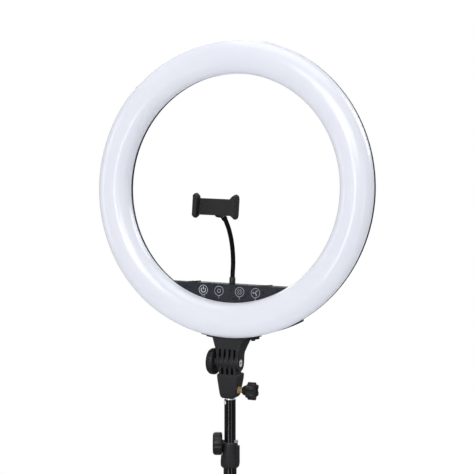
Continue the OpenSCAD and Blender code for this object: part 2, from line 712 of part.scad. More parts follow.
// Rivet frame: x outwards along the rivet.
module at_rivet() { at_pivot() translate([0, 0, rivet_z]) rotate([0, 0, rivet_az]) children(); }
module rivet_hole(start) { at_rivet() along_x(start, 20, 2.05, 32); }
module spigot() {
  color(bright_steel) difference() {
    at_pivot() rotate_extrude() polygon([
      [0, -110], [spigot_r, -110], [spigot_r, -48], [6.5, -46.5], [6.5, -37.5],
      [spigot_r, -36], [spigot_r, -25], [6.9, -24], [0, -24]]);
    rivet_hole(4.9);
  }
}
module spigot_rivet() {
  color(bright_steel) at_rivet() difference() {
    union() {
      along_x(5, 9.5, 2, 32);
      rotate([0, 90, 0]) translate([0, 0, 9.1]) rotate_extrude($fn = 48)
        polygon([[0, 0], [3.1, 0], [2.9, 0.6], [2.2, 1.1], [0, 1.2]]);
    }
    along_x(7, 20, 1.3, 32);
  }
}
module pipe(outside, bore, bottom, top) {
  difference() {
    translate([0, 0, bottom]) cylinder(r = outside, h = top - bottom, $fn = tube_fn);
    translate([0, 0, bottom - 1]) cylinder(r = bore, h = top - bottom + 2, $fn = tube_fn);
  }
}
module tube_top() {
  color(tube_black) difference() {
    pipe(top_r, 8, pivot_z - 544, pivot_z - 57.4);
    rivet_hole(4);
  }
}
module tube_mid() {
  color(tube_black) pipe(mid_r, top_r + tube_gap, 130, collar_1_z - tube_drop);
}
module tube_bottom() {
  color(tube_black) pipe(low_r, mid_r + tube_gap, tube_base, collar_2_z - tube_drop);
}
// Lock screw's axis, x outwards; z = 0 is the collar's top.
module at_lock() { translate([0, 0, -knob_drop]) rotate([0, 0, knob_az]) children(); }
// Collar that locks the inner tube in the outer one.
module collar(top, inner_tube, outer_tube, lining) {
  color(shell_black) translate([0, 0, top]) difference() {
    union() {
      rotate_extrude() polygon([
        [0, -39.5], [outer_tube + 2.2, -39.5], [outer_tube + 4.3, -37], [outer_tube + 4.5, -30],
        [outer_tube + 3.5, -18], [outer_tube + 2.4, -6], [outer_tube + 1.7, -1],
        [outer_tube + 1, 0], [0, 0]]);
      // boss of the locking screw
      at_lock() along_x(4, outer_tube + 3.7, 6.2);
      // clamp ridge roughly opposite the knob
      rotate([0, 0, ridge_az]) translate([outer_tube + 1, -3, -33]) cube([4.4, 6, 29]);
    }
    translate([0, 0, -60]) cylinder(r = outer_tube + 0.02, h = 60.1 - tube_drop, $fn = tube_fn);
    translate([0, 0, -60]) cylinder(r = inner_tube + tube_gap + lining, h = 80, $fn = tube_fn);
    at_lock() along_x(0, 40, lock_hole_r);
    // flat the knob turns against
    at_lock() along_x(inner_tube + knob_gap, 40, 18.8);
    // slit of the ridge
    rotate([0, 0, ridge_az]) translate([outer_tube + 3.2, -0.6, -34]) cube([5.2, 1.2, 31]);
  }
}
module collar_knob(top, inner_tube, outer_tube) {
  color(knob_black) translate([0, 0, top]) at_lock() {
    rotate([0, 0, 180]) translate([-inner_tube - knob_gap - 0.1, 0, 0])
      scalloped_knob(radius = 17.85, depth = 14.6, scallops = 10, hub_r = 8, hub_depth = 0.1);
    along_x(inner_tube + 0.4, outer_tube + 5, lock_screw_r);
  }
}
module collar_1() { collar(collar_1_z, top_r, mid_r, liner_t); }
module collar_1_knob() { collar_knob(collar_1_z, top_r, mid_r); }
module collar_2() { collar(collar_2_z, mid_r, low_r, 0); }
module collar_2_knob() { collar_knob(collar_2_z, mid_r, low_r); }
// Pale nylon liner in the collar's mouth, with a tab that stops it turning.
module collar_1_liner() {
  color([0.62, 0.63, 0.64]) translate([0, 0, collar_1_z]) difference() {
    union() {
      translate([0, 0, -9.7]) cylinder(r = top_r + 0.08 + liner_t, h = 9.7, $fn = tube_fn);
      rotate([0, 0, ridge_az]) translate([top_r, -2, -3]) cube([1, 4, 7]);
      rotate([0, 0, ridge_az]) translate([top_r, -2, 0.1]) cube([4.6, 4, 4]);
    }
    translate([0, 0, -60]) cylinder(r = top_r + tube_gap, h = 80, $fn = tube_fn);
    at_lock() along_x(0, 40, lock_hole_r);
  }
}

// ---------------------------------------------------------------- tripod
pin_r = 2.5;
pin_hole_r = pin_r + 0.05;
tight_hole_r = pin_r + 0.02;

// The three hinge places at a height: x outwards, y along the pin.
module at_hinges(z) {
  for (a = leg_az) rotate([0, 0, a]) translate([pin_circle, 0, z]) children();
}
module cross_pin(radius, length) {
  rotate([90, 0, 0]) cylinder(r = radius, h = length, center = true, $fn = 48);
}
module rivet_pin(half_l) {
  cross_pin(pin_r, 2 * half_l);
  for (side = [-1, 1]) translate([0, side * (half_l + 0.6), 0]) cross_pin(4, 1.2);
}
module lower_hub() {
  lug_start = 10;                    // from the stand's axis
  color(shell_black) difference() {
    union() {
      translate([0, 0, hub_z]) rotate_extrude() polygon([
        [0, -36], [12, -36], [16.5, -31], [17.5, -20], [17.5, 14], [15.5, 17], [0, 17]]);
      at_hinges(hub_z) {
        cross_pin(7, 16);
        translate([lug_start - pin_circle, -8, -7]) cube([pin_circle - lug_start, 16, 14]);
      }
    }
    translate([0, 0, tube_base - 0.1]) cylinder(r = low_r + 0.02, h = 200, $fn = tube_fn);
    at_hinges(hub_z) cross_pin(pin_hole_r, 40);
  }
}
module hub_pins() { color(pin_steel) at_hinges(hub_z) rivet_pin(11); }
// Leg collar's lock screw, x outwards to the rear.
module at_leg_lock() { translate([0, 0, leg_collar_z + 10]) rotate([0, 0, 90]) children(); }
// Sliding collar with a pair of lugs for each leg.
module leg_collar() {
  lug_start = 8;                     // from the stand's axis
  color(shell_black) difference() {
    union() {
      translate([0, 0, leg_collar_z]) rotate_extrude() polygon([
        [0, -17], [15.5, -17], [17, -14], [17, 17], [15.5, 20], [0, 20]]);
      at_hinges(leg_collar_z) for (side = [-1, 1]) translate([0, side * 9.9, 0]) {
        cross_pin(6.5, 3.2);
        translate([lug_start - pin_circle, -1.6, -6.5]) cube([pin_circle - lug_start, 3.2, 13]);
      }
      at_leg_lock() along_x(10, 21, 6.5);
    }
    translate([0, 0, leg_collar_z - 60]) cylinder(r = low_r + 0.1, h = 120, $fn = tube_fn);
    at_hinges(leg_collar_z) {
      cross_pin(tight_hole_r, 40);
      cross_pin(leg_r + 1.2, 16.6);
    }
    at_leg_lock() along_x(5, 40, lock_hole_r);
  }
}
module leg_collar_knob() {
  color(knob_black) at_leg_lock() {
    rotate([0, 0, 180]) translate([-21.3, 0, 0])
      scalloped_knob(radius = 13, depth = 11, scallops = 8, hub_r = 7, hub_depth = 1.2);
    along_x(low_r + 0.6, 22.5, lock_screw_r);
  }
}
module collar_pins() { color(pin_steel) at_hinges(leg_collar_z) rivet_pin(11.6); }
// Leg frame: origin at the top pin, z down the leg.
module leg_frame(n) {
  rotate([0, 0, leg_az[n - 1]]) translate([pin_circle, 0, leg_collar_z])
    rotate([0, 180 - leg_angle, 0]) children();
}
// Leg tube with a rounded top; it is hollow below the top pin.
module leg(n) {
  color(tube_black) leg_frame(n) difference() {
    union() {
      cylinder(r = leg_r, h = leg_l - 3);
      intersection() {
        cross_pin(leg_r, 16);
        translate([0, 0, -20]) cylinder(r = leg_r, h = 40);
      }
    }
    translate([0, 0, 16]) cylinder(r = leg_r - 1, h = leg_l);
    cross_pin(pin_hole_r, 40);
    translate([0, 0, brace_l]) cross_pin(tight_hole_r, 40);
  }
}
// Two flat bars from the lower hub up and out to the knee.
module brace(n) {
  color(neck_black) rotate([0, 0, leg_az[n - 1]]) translate([pin_circle, 0, hub_z])
    rotate([0, leg_angle, 0]) for (side = [-1, 1]) translate([0, side * 9.5, 0]) difference() {
      union() {
        for (z = [0, brace_l]) translate([0, 0, z]) cross_pin(5.5, 2.4);
        translate([-5.5, -1.2, 0]) cube([11, 2.4, brace_l]);
      }
      for (z = [0, brace_l]) translate([0, 0, z]) cross_pin(pin_hole_r, 10);
    }
}
module knee_pin(n) { color(pin_steel) leg_frame(n) translate([0, 0, brace_l]) rivet_pin(10.9); }
// Round-ended foot, cut flat at the floor.
module foot(n) {
  color([0.08, 0.08, 0.08]) difference() {
    intersection() {
      leg_frame(n) {
        translate([0, 0, leg_l - 26]) cylinder(r = 10.6, h = 26);
        translate([0, 0, leg_l]) sphere(r = 11);
      }
      cylinder(r = 600, h = 100);
    }
    leg_frame(n) translate([0, 0, leg_l - 60]) cylinder(r = leg_r + 0.02, h = 57.1);
  }
}
module leg_1() { leg(1); }
module leg_2() { leg(2); }
module leg_3() { leg(3); }
module brace_1() { brace(1); }
module brace_2() { brace(2); }
module brace_3() { brace(3); }
module knee_pin_1() { knee_pin(1); }
module knee_pin_2() { knee_pin(2); }
module knee_pin_3() { knee_pin(3); }
module foot_1() { foot(1); }
module foot_2() { foot(2); }
module foot_3() { foot(3); }

rear_housing();
diffuser();
led_board();
led_chips();
control_panel();
touch_board();
driver_board();
driver_parts();
rear_cover();
head_screws();
dc_jack();
bracket_upper();
tilt_bolt();
tilt_nut();
tilt_knob();
bracket_lower();
thumb_insert();
thumb_screw();
thumb_knob();
neck_ferrule();
neck_base();
neck_link_1();
neck_link_2();
neck_link_3();
neck_link_4();
neck_link_5();
neck_tip();
ball_cup();
holder_plate();
fixed_pad();
sliding_jaw();
sliding_pad();
jaw_spring();
spigot();
spigot_rivet();
tube_top();
collar_1();
collar_1_liner();
collar_1_knob();
tube_mid();
collar_2();
collar_2_knob();
tube_bottom();
lower_hub();
hub_pins();
leg_collar();
leg_collar_knob();
collar_pins();
leg_1();
leg_2();
leg_3();
brace_1();
brace_2();
brace_3();
knee_pin_1();
knee_pin_2();
knee_pin_3();
foot_1();
foot_2();
foot_3();
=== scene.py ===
"""Ring light on a three-legged stand, with a gooseneck carrying a sprung holder.

World: metres, X right, Y to the rear, Z up; the light faces -Y and stands on Z = 0.
Sizes named here are in mm unless a comment says otherwise; MM turns them into metres.
"""
import bpy, bmesh, json, math
import numpy as np
from mathutils import Matrix, Vector


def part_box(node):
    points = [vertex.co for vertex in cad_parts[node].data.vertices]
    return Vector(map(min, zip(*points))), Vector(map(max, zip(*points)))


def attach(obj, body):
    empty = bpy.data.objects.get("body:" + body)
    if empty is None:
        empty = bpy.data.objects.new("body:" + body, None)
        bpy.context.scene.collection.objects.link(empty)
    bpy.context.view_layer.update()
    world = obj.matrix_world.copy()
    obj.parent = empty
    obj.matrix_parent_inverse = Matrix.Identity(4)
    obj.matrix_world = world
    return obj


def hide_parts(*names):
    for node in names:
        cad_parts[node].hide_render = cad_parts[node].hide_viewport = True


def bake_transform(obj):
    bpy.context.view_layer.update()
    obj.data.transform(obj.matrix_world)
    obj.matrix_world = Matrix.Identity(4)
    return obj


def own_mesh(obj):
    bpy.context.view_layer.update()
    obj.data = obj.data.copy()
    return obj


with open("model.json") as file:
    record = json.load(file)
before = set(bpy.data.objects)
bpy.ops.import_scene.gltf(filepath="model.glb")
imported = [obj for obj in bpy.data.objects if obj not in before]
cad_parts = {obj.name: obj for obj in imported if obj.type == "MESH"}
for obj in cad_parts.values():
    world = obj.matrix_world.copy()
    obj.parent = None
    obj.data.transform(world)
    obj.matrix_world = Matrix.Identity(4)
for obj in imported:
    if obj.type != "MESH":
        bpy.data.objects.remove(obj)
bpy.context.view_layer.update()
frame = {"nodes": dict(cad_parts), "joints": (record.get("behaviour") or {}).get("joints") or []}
CAD_NODES = frame["nodes"]
JOINTS = {joint["name"]: joint for joint in frame["joints"]}
MM = 0.001

# ---------------------------------------------------------------- driving sizes and frames
HEAD_LEAN, HOLDER_LEAN = 6.0, 8.0       # degrees, tops tipped to the rear
RING_Y, RING_HEIGHT = -16.2, 267.9      # ring centre from the head's tilt pivot
RING_OUTER, RING_INNER = 228.6, 175.6   # radii
RING_MID = (RING_OUTER + RING_INNER) / 2


def leaning_frame(origin, degrees):
    return Matrix.Translation(origin) @ Matrix.Rotation(-math.radians(degrees), 4, "X")


PIVOT = Vector(JOINTS["head_tilt"]["pos_m"])
BALL = Vector(JOINTS["holder_tilt"]["pos_m"])
RING = leaning_frame(PIVOT, HEAD_LEAN) @ Matrix.Translation((0, RING_Y * MM, RING_HEIGHT * MM))
HOLDER = leaning_frame(BALL, HOLDER_LEAN)


# ---------------------------------------------------------------- mesh helpers
def build_mesh(name, verts, faces, material, body=None, smooth=True, sharp=35, placed=None):
    """Mesh object with outward normals; edges over `sharp` degrees stay sharp when smooth."""
    mesh = bpy.data.meshes.new(name)
    mesh.from_pydata([tuple(v) for v in verts], [], faces)
    mesh.validate()
    mesh.update()
    bm = bmesh.new()
    bm.from_mesh(mesh)
    bmesh.ops.recalc_face_normals(bm, faces=bm.faces)
    bm.to_mesh(mesh)
    bm.free()
    obj = bpy.data.objects.new(name, mesh)
    bpy.context.scene.collection.objects.link(obj)
    if placed is not None:
        mesh.transform(placed)
    for polygon in mesh.polygons:
        polygon.use_smooth = smooth
    if smooth:
        mesh.set_sharp_from_angle(angle=math.radians(sharp))
    mesh.materials.append(material)
    if body:
        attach(obj, body)
    return obj


def sweep_faces(sections, points, closed=False):
    """Faces joining successive closed sections; an open sweep is capped at both ends."""
    faces = []
    for i in range(sections if closed else sections - 1):
        a, b = i * points, (i + 1) % sections * points
        for k in range(points):
            after = (k + 1) % points
            faces.append((a + k, a + after, b + after, b + k))
    if not closed:
        last = (sections - 1) * points
        faces += [tuple(range(points)), tuple(range(last, last + points))[::-1]]
    return faces


# ---------------------------------------------------------------- shader helpers
def node(tree, kind, inputs=None, **settings):
    """Adds a shader node; each input takes either a value or a socket to link."""
    made = tree.nodes.new("ShaderNode" + kind)
    for key, value in settings.items():
        setattr(made, key, value)
    for socket, value in (inputs or {}).items():
        if isinstance(value, bpy.types.NodeSocket):
            tree.links.new(value, made.inputs[socket])
        else:
            made.inputs[socket].default_value = value
    return made


def empty_tree(owner):
    owner.use_nodes = True
    owner.node_tree.nodes.clear()
    return owner.node_tree


def new_material(name):
    material = bpy.data.materials.new(name)
    return material, empty_tree(material)


def coords(tree, scale=(1, 1, 1)):
    place = node(tree, "TexCoord").outputs["Object"]
    return node(tree, "Mapping", {"Vector": place, "Scale": scale}).outputs[0]


def noise(tree, vector, scale, detail=3, rough=0.55, distortion=0.0):
    return node(tree, "TexNoise", {"Vector": vector, "Scale": scale, "Detail": detail,
                                   "Roughness": rough, "Distortion": distortion}).outputs["Fac"]


def remap(tree, value, low, high, start=0.3, end=0.7):
    """Maps value from [start, end] to [low, high]."""
    return node(tree, "MapRange", {"Value": value, "From Min": start, "From Max": end,
                                   "To Min": low, "To Max": high}).outputs[0]


def mix_colors(tree, factor, first, second):
    first, second = ((*c, 1) if isinstance(c, tuple) else c for c in (first, second))
    return node(tree, "Mix", {0: factor, 6: first, 7: second}, data_type="RGBA").outputs[2]


def calc(tree, operation, first, second):
    return node(tree, "Math", {0: first, 1: second}, operation=operation).outputs[0]


def bump(tree, height, strength, depth):
    return node(tree, "Bump", {"Strength": strength, "Distance": depth * MM,
                               "Height": height}).outputs[0]


def mix_shaders(tree, factor, first, second):
    return node(tree, "MixShader", {0: factor, 1: first, 2: second}).outputs[0]


def edge_mask(tree, radius=0.4, gain=4.0):
    """1 near sharp edges, from the bevelled normal's departure from the true one."""
    rounded = node(tree, "Bevel", {"Radius": radius * MM}, samples=4).outputs[0]
    true = node(tree, "NewGeometry").outputs["Normal"]
    match = node(tree, "VectorMath", {0: rounded, 1: true}, operation="DOT_PRODUCT")
    departure = calc(tree, "SUBTRACT", 1.0, match.outputs["Value"])
    return calc(tree, "MINIMUM", calc(tree, "MULTIPLY", departure, gain), 1.0)


# ---------------------------------------------------------------- materials
def surface(name, color, rough, grain, grain_depth, grain_strength=0.25, metal=0.0, specular=0.5,
            coat=0.0, coat_rough=0.08, vary=0.12, rough_vary=0.08, stretch=(1, 1, 1), tint=None,
            edge=0.0, scratches=0.0):
    """Mottled surface with a fine bumpy grain.

    grain is the noise scale; grain_depth is in mm; vary is the share by which the colour
    drifts, lighter towards tint; edge is the weight of the lighter sharp edges, partly worn
    and partly a painted highlight; stretch scales the grain per axis; scratches is the weight
    of long marks along Z.
    """
    material, tree = new_material(name)
    vector = coords(tree)
    dark = tuple(c * (1 - vary) for c in color)
    light = tuple(min(1, c * (1 + vary)) for c in (tint or color))
    mottle = noise(tree, vector, scale=45, detail=4, rough=0.6)
    shown = mix_colors(tree, remap(tree, mottle, 0, 1, start=0.32, end=0.68), dark, light)
    smudge = noise(tree, vector, scale=70, detail=5, rough=0.62, distortion=0.3)
    roughness = remap(tree, smudge, rough - rough_vary, rough + rough_vary)
    if edge > 0:
        broken = noise(tree, vector, scale=420, detail=3, rough=0.7)
        broken = remap(tree, broken, 0.25, 1.0, start=0.4, end=0.6)
        wear_and_edge_sheen = calc(tree, "MULTIPLY", edge_mask(tree), broken)
        wear_and_edge_sheen = calc(tree, "MULTIPLY", wear_and_edge_sheen, edge)
        # the sharp edges are lightened, partly worn and partly a painted highlight
        shown = mix_colors(tree, wear_and_edge_sheen, shown, tuple(min(1, c * 1.6 + 0.05) for c in color))
        # worn edges are polished
        roughness = calc(tree, "SUBTRACT", roughness, calc(tree, "MULTIPLY", wear_and_edge_sheen, 0.12))
    height = noise(tree, coords(tree, stretch), scale=grain, detail=2, rough=0.5)
    if scratches:
        long_z = coords(tree, (stretch[0], stretch[1], stretch[2] * 0.06))
        marks = noise(tree, long_z, scale=900, detail=3, rough=0.7)
        height = mix_colors(tree, scratches, height, marks)
    shader = node(tree, "BsdfPrincipled", {
        "Base Color": shown,
        "Roughness": calc(tree, "MAXIMUM", roughness, 0.03),
        "Metallic": metal,
        "Specular IOR Level": specular,
        "Coat Weight": coat,
        "Coat Roughness": coat_rough,
        "Normal": bump(tree, height, grain_strength, grain_depth)})
    node(tree, "OutputMaterial", {"Surface": shader.outputs[0]})
    return material


def diffuser_material():
    """Milky acrylic, with a painted glow that lifts its rim."""
    material, tree = new_material("diffuser_acrylic")
    vector = coords(tree)
    cloud = remap(tree, noise(tree, vector, scale=9, detail=3, rough=0.5), 0, 1)
    smudge = noise(tree, vector, scale=60, detail=4, rough=0.6)
    # painted light: an emission that rises towards the grazing rim keeps the rim as pale as the
    # face
    facing = node(tree, "LayerWeight", {"Blend": 0.5}).outputs["Facing"]
    painted_rim_glow = calc(tree, "MULTIPLY", calc(tree, "POWER", facing, 2.5), 0.16)
    grain = noise(tree, vector, scale=700, detail=2, rough=0.5)
    shader = node(tree, "BsdfPrincipled", {
        "Base Color": mix_colors(tree, cloud, (0.775, 0.795, 0.875), (0.80, 0.818, 0.89)),
        "Roughness": remap(tree, smudge, 0.2, 0.27),
        "Subsurface Weight": 0.25,
        "Subsurface Radius": (0.004, 0.004, 0.0045),
        "Subsurface Scale": 1.0,
        "Emission Color": (0.95, 0.95, 0.97, 1),
        "Emission Strength": painted_rim_glow,
        "Coat Weight": 0.35,
        "Coat Roughness": 0.12,
        "Normal": bump(tree, grain, strength=0.08, depth=0.02)})
    node(tree, "OutputMaterial", {"Surface": shader.outputs[0]})
    return material


MATERIALS = {
    "abs": surface("abs_black", color=(0.014, 0.014, 0.0165), rough=0.46, grain=1500,
                   grain_depth=0.05, grain_strength=0.35, edge=0.35, vary=0.15),
    "bracket": surface("bracket_nylon", color=(0.0145, 0.0145, 0.0165), rough=0.46, grain=1300,
                       grain_depth=0.07, grain_strength=0.4, edge=0.5, vary=0.2),
    "knob": surface("knob_nylon", color=(0.012, 0.012, 0.014), rough=0.42, grain=1700,
                    grain_depth=0.05, grain_strength=0.35, edge=0.4, vary=0.15),
    "panel": surface("panel_film", color=(0.021, 0.024, 0.033), rough=0.3, specular=0.42,
                     grain=900, grain_depth=0.015, grain_strength=0.15, coat=0.25,
                     coat_rough=0.25, vary=0.08, edge=0.2),
    "tube": surface("tube_black", color=(0.004, 0.004, 0.005), rough=0.2, specular=0.25,
                    coat=0.55, coat_rough=0.1, grain=500, grain_depth=0.003,
                    grain_strength=0.03, stretch=(1, 1, 0.02), vary=0.2, rough_vary=0.04,
                    edge=0.15, scratches=0.3),
    "neck": surface("neck_sheath", color=(0.004, 0.004, 0.005), rough=0.42, specular=0.12,
                    grain=1200, grain_depth=0.03, vary=0.15),
    "grey_metal": surface("grey_cast", color=(0.2, 0.2, 0.21), rough=0.36, metal=0.7,
                          grain=1200, grain_depth=0.04, grain_strength=0.3, edge=0.4),
    "holder": surface("holder_abs", color=(0.011, 0.011, 0.0125), rough=0.46, specular=0.46,
                      grain=1600, grain_depth=0.05, grain_strength=0.35, edge=0.35),
    "steel": surface("zinc_steel", color=(0.86, 0.87, 0.89), rough=0.28, metal=0.3, grain=700,
                     grain_depth=0.01, grain_strength=0.2, stretch=(1, 1, 0.1), vary=0.06,
                     edge=0.2),
    "steel_dark": surface("black_steel", color=(0.03, 0.03, 0.032), rough=0.35, metal=0.8,
                          grain=900, grain_depth=0.02, grain_strength=0.2, edge=0.4),
    "brass": surface("brass", color=(0.56, 0.38, 0.19), rough=0.3, metal=0.4, grain=700,
                     grain_depth=0.02, vary=0.15, tint=(0.66, 0.48, 0.26), edge=0.3),
    "nylon": surface("pale_nylon", color=(0.3, 0.31, 0.33), rough=0.45, grain=1400,
                     grain_depth=0.03, grain_strength=0.2),
    "rubber": surface("rubber", color=(0.012, 0.012, 0.013), rough=0.72, grain=1100,
                      grain_depth=0.08, grain_strength=0.5, specular=0.35, vary=0.25),
    "pad": surface("pad_rubber", color=(0.016, 0.016, 0.017), rough=0.7, grain=900,
                   grain_depth=0.1, grain_strength=0.5, specular=0.35),
    "print": surface("key_print", color=(0.52, 0.54, 0.58), rough=0.5, grain=1500,
                     grain_depth=0.01, grain_strength=0.2, vary=0.1),
    "pcb_white": surface("white_board", color=(0.8, 0.8, 0.77), rough=0.4, grain=900,
                         grain_depth=0.02, grain_strength=0.2, vary=0.05),
    "pcb_green": surface("green_board", color=(0.02, 0.12, 0.05), rough=0.35, grain=900,
                         grain_depth=0.02, grain_strength=0.2),
    "led": surface("led_package", color=(0.8, 0.62, 0.2), rough=0.3, grain=1500,
                   grain_depth=0.01, grain_strength=0.1),
    "chip": surface("component", color=(0.02, 0.02, 0.022), rough=0.5, grain=1200,
                    grain_depth=0.03, grain_strength=0.3),
    "diffuser": diffuser_material(),
}

# ---------------------------------------------------------------- CAD nodes
# material: the CAD nodes that wear it
MATERIAL_NODES = {
    "abs": "rear_housing rear_cover neck_ferrule",
    "diffuser": "diffuser",
    "pcb_white": "led_board",
    "led": "led_chips",
    "panel": "control_panel",
    "pcb_green": "touch_board driver_board",
    "chip": "driver_parts dc_jack",
    "steel_dark": "head_screws",
    "bracket": "bracket_upper bracket_lower collar_1 collar_2 lower_hub leg_collar",
    "steel": "tilt_bolt tilt_nut jaw_spring spigot spigot_rivet hub_pins collar_pins",
    "knob": "tilt_knob thumb_knob collar_1_knob collar_2_knob leg_collar_knob",
    "brass": "thumb_insert thumb_screw",
    "grey_metal": "ball_cup",
    "holder": "holder_plate sliding_jaw",
    "pad": "fixed_pad sliding_pad",
    "nylon": "collar_1_liner",
}
# nodes not listed above, by the start of their name; all others wear the tube's material
PREFIX_MATERIALS = {"neck_": "neck", "knee": "steel", "foot": "rubber"}
# edge rounding width: the CAD nodes that get it
ROUNDED_NODES = {
    0.2: "neck_ferrule tube_top tube_mid tube_bottom ball_cup",
    0.3: "tilt_nut tilt_knob collar_1_liner driver_parts",
    0.4: "control_panel collar_1 collar_2 brace_1 brace_2 brace_3 leg_collar_knob",
    0.5: "rear_cover fixed_pad sliding_pad collar_1_knob collar_2_knob",
    0.8: "bracket_upper bracket_lower leg_collar lower_hub foot_1 foot_2 foot_3",
    0.9: "holder_plate sliding_jaw thumb_knob",
}


def by_node(groups):
    return {name: key for key, names in groups.items() for name in names.split()}


def dress_cad_nodes():
    """Gives every CAD node its material, welded vertices and rounded edges."""
    listed, widths = by_node(MATERIAL_NODES), by_node(ROUNDED_NODES)
    for name, obj in CAD_NODES.items():
        by_prefix = (m for start, m in PREFIX_MATERIALS.items() if name.startswith(start))
        key = listed.get(name) or next(by_prefix, "tube")
        obj.data.materials.clear()
        obj.data.materials.append(MATERIALS[key])
        obj.modifiers.new("weld", "WELD").merge_threshold = 2e-6
        if name in widths:
            bevel = obj.modifiers.new("round", "BEVEL")
            bevel.width = widths[name] * MM
            bevel.segments = 3
            bevel.limit_method = "ANGLE"
            bevel.angle_limit = math.radians(38)
            bevel.use_clamp_overlap = True
            bevel.miter_outer = "MITER_ARC"


dress_cad_nodes()

# ---------------------------------------------------------------- diffuser
# Sections are (radius from the named ring edge, y); y grows to the rear.
DOME_START = -1.0           # y where the dome leaves the lips
DOME_POWER = 0.86           # below 1 fills out the ellipse's shoulders
OUTER_LIP = [(-2.6, 5), (-2.6, -0.1), (0.08, -0.1), (0.08, 0.5), (0.2, 0.6), (0.32, 0.5),
             (0.32, -0.2), (0.1, -0.75), (-0.35, -1.05)]            # from RING_OUTER
INNER_LIP = [(0.35, -1.05), (-0.1, -0.75), (-0.32, -0.2), (-0.32, 0.7), (-0.2, 0.8),
             (-0.08, 0.7), (-0.08, -0.1), (2.6, -0.1), (2.6, 5), (4.4, 5)]  # from RING_INNER
WALL_REAR = (-4.4, 5)       # from RING_OUTER
DEEP_LIP = [(-0.09, 0.4), (-0.09, 2.3), (-0.2, 2.45), (-0.33, 2.3), (-0.33, 0.4)]  # RING_INNER
PANEL_HALF_ANGLE = 36.5     # degrees either side of straight down


def dome(half_width, height, steps):
    """Half-ellipse bulging to the front, from the outer edge to the inner."""
    angles = [math.pi * i / steps for i in range(steps + 1)]
    return [(RING_MID + half_width * math.cos(a),
             -height * abs(math.sin(a)) ** DOME_POWER + DOME_START) for a in angles]


def from_edge(radius, offsets):
    return [(radius + out, y) for out, y in offsets]


def revolve(name, section, angles, closed):
    """Turns a section of (radius, y) round the ring's axis."""
    verts = [(r * MM * math.cos(a), y * MM, r * MM * math.sin(a))
             for a in angles for r, y in section]
    obj = build_mesh(name, verts, sweep_faces(len(angles), len(section), closed),
                     MATERIALS["diffuser"], "head", sharp=40, placed=RING)
    return obj


def build_diffuser():
    # thin lips lap over the shell's rim, outside and inside
    section = from_edge(RING_OUTER, OUTER_LIP)
    section += dome(half_width=25.9, height=20.0, steps=72)[1:-1]
    section += from_edge(RING_INNER, INNER_LIP)
    section += dome(half_width=24.0, height=18.0, steps=60)[::-1]
    section += from_edge(RING_OUTER, [WALL_REAR])
    segments = 256
    turn = [2 * math.pi * i / segments for i in range(segments)]
    cover = revolve("diffuser_cover", section, turn, closed=True)
    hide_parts("diffuser")

    # deeper inner lip, everywhere but along the control panel
    start = math.radians(-90 + PANEL_HALF_ANGLE)
    end = math.radians(270 - PANEL_HALF_ANGLE)
    steps = 220
    sweep = [start + (end - start) * i / steps for i in range(steps + 1)]
    lip = revolve("diffuser_lip", from_edge(RING_INNER, DEEP_LIP), sweep, closed=False)


build_diffuser()

# ---------------------------------------------------------------- gooseneck sheath
NECK_ROOT = (0, 12, -147 + 3.2)     # in the ring's frame
NECK_RADIUS = 3.52
NECK_RIPPLE = 0.006                 # share of the radius
NECK_RIPPLE_STEP = 1.9              # radians per sample
NECK_END_REACH = 10.0               # past the last joint, towards the ball
NECK_SIDES = 28
NECK_SAMPLES = 24                   # per span between points
NECK_JOINTS = ("neck_bend_1", "neck_sway_2", "neck_bend_3", "neck_sway_4", "neck_bend_5")


def smooth_line(points, samples):
    """Catmull-Rom curve through the points."""
    control = [points[0] + (points[0] - points[1])] + points
    control.append(points[-1] + (points[-1] - points[-2]))
    line = []
    for i in range(1, len(control) - 2):
        p0, p1, p2, p3 = control[i - 1:i + 3]
        for s in range(samples):
            t = s / samples
            line.append(0.5 * ((2 * p1) + (p2 - p0) * t
                               + (2 * p0 - 5 * p1 + 4 * p2 - p3) * t * t
                               + (3 * p1 - p0 - 3 * p2 + p3) * t ** 3))
    return line + [points[-1]]


def neck_section(line, i):
    """Points round the sheath at sample i of the line."""
    along = (line[min(i + 1, len(line) - 1)] - line[max(i - 1, 0)]).normalized()
    side = Vector((1, 0, 0))
    across = along.cross(side).normalized()
    radius = NECK_RADIUS * MM * (1 + NECK_RIPPLE * math.sin(i * NECK_RIPPLE_STEP))
    angles = [2 * math.pi * k / NECK_SIDES for k in range(NECK_SIDES)]
    return [line[i] + side * (radius * math.cos(a)) + across * (radius * math.sin(a))
            for a in angles]


def build_neck():
    """One length of sheath per joint, cut midway between joints."""
    joints = [Vector(JOINTS[name]["pos_m"]) for name in NECK_JOINTS]
    base = RING @ Vector([v * MM for v in NECK_ROOT])
    end = joints[-1] + (BALL - joints[-1]).normalized() * NECK_END_REACH * MM
    line = smooth_line([base, (base + joints[0]) / 2] + joints + [end], NECK_SAMPLES)
    mids = [(a + b) / 2 for a, b in zip(joints, joints[1:])]
    nearest = [min(range(len(line)), key=lambda i: (line[i] - mid).length) for mid in mids]
    cuts = [0] + nearest + [len(line) - 1]
    for k, joint in enumerate(joints):
        samples = range(cuts[k], cuts[k + 1] + 1)
        verts = [point for i in samples for point in neck_section(line, i)]
        sheath = build_mesh(f"neck_sheath_{k + 1}", verts, sweep_faces(len(samples), NECK_SIDES),
                            MATERIALS["neck"], sharp=60)
        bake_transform(sheath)
        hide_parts(f"neck_link_{k + 1}", *(["neck_base"] if k == 0 else []))


build_neck()

# ---------------------------------------------------------------- touch key symbols
# Drawn as ribbons in the ring's XZ plane; a stroke is (points, width, closed).
PRINT_REAR, PRINT_THICKNESS = 1.98, 0.12    # y of the rear face; the front face is at lower y
KEY_Z = -158.0
KEY_RADIUS = 7.2
KEY_RIM_WIDTH = 0.5


def polar(cx, cz, radius, angle):
    return (cx + radius * math.cos(angle), cz + radius * math.sin(angle))


def circle(cx, cz, radius, points=64):
    return [polar(cx, cz, radius, 2 * math.pi * i / points) for i in range(points)]


def arc(cx, cz, radius, start, end, steps=48):
    """Points from start to end, in degrees."""
    return [polar(cx, cz, radius, math.radians(start + (end - start) * i / steps))
            for i in range(steps + 1)]


